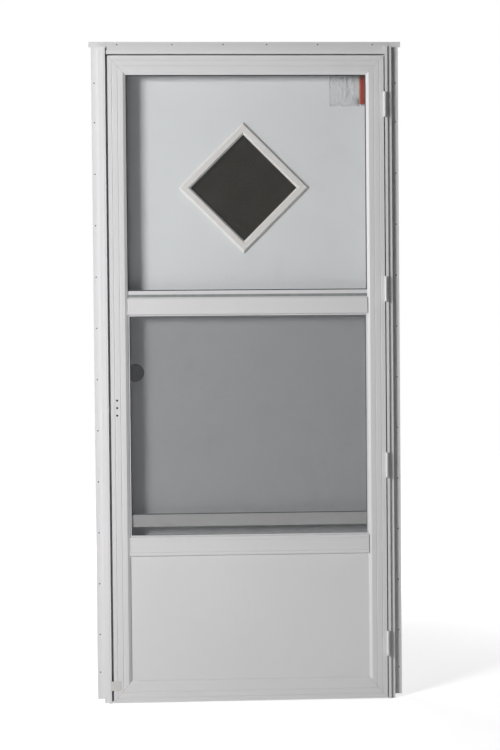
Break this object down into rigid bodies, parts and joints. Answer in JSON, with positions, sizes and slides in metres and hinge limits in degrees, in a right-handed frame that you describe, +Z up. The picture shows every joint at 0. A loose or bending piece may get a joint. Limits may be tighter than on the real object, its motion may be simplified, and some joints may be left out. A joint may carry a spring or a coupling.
{
  "type": "combination door with storm door",
  "caption": "White framed door unit: outward storm door with sash, screen and kick panel over an inward flush door with a diamond window.",
  "frame": {"origin": "on the back face of the head flange, midway across the unit and midway along its row of screw holes", "axes": "+X from the latch side to the hinge side, +Y into the building, +Z up"},
  "size_m": [0.928, 0.1161, 1.966],
  "materials": {
    "white_paint": "semi-gloss white paint on aluminium extrusion",
    "sash_aluminium": "white painted sash and screen extrusion",
    "mill_aluminium": "mill finish threshold",
    "seal_vinyl": "matt grey-white vinyl bulb",
    "hinge_metal": "light painted steel",
    "clear_glass": "clear float glass",
    "dark_glass": "sealed unit that shows a dark room",
    "screen_mesh": "grey fibreglass insect mesh",
    "prime_skin": "white embossed sheet",
    "foam_core": "rigid foam",
    "pine": "bare softwood under white paint",
    "trim_plastic": "warm white moulded trim",
    "packet_film": "cloudy film sleeve",
    "red_card": "plain red card"
  },
  "bodies": {
    "frame": {"latch_jamb": "white_paint", "hinge_jamb": "white_paint", "head_jamb": "white_paint", "sill": "mill_aluminium", "latch_weatherstrip": "seal_vinyl", "hinge_weatherstrip": "seal_vinyl", "head_weatherstrip": "seal_vinyl", "sill_weatherstrip": "seal_vinyl", "storm_strike": "hinge_metal", "storm_hinge_frame_leaves": "hinge_metal", "prime_hinge_frame_leaves": "hinge_metal"},
    "storm_door": {"storm_latch_stile": "white_paint", "storm_hinge_stile": "white_paint", "storm_top_rail": "white_paint", "storm_mid_rail": "white_paint", "storm_kick_rail": "white_paint", "storm_bottom_rail": "white_paint", "kick_panel": "white_paint", "upper_sash_frame": "sash_aluminium", "upper_glass": "clear_glass", "lower_sash_frame": "sash_aluminium", "lower_glass": "clear_glass", "screen_frame": "sash_aluminium", "insect_screen": "screen_mesh", "shipping_clip": "trim_plastic", "storm_hinge_door_leaves": "hinge_metal"},
    "prime_door": {"prime_outer_skin": "prime_skin", "prime_inner_skin": "prime_skin", "prime_core": "foam_core", "prime_latch_stile": "pine", "prime_hinge_stile": "pine", "prime_end_rails": "pine", "diamond_glass": "dark_glass", "diamond_outer_trim": "trim_plastic", "diamond_inner_trim": "trim_plastic", "prime_hinge_door_leaves": "hinge_metal", "packet_sleeve": "packet_film", "packet_card": "red_card"}
  },
  "joints": [
    {"name": "storm_swing", "type": "hinge", "parent": "frame", "child": "storm_door", "pos_m": [0.41275, -0.0265, -0.993], "axis": [0, 0, 1], "range_deg": [0, 150]},
    {"name": "prime_swing", "type": "hinge", "parent": "frame", "child": "prime_door", "pos_m": [0.40075, 0.0801, -0.99], "axis": [0, 0, -1], "range_deg": [0, 110]}
  ]
}
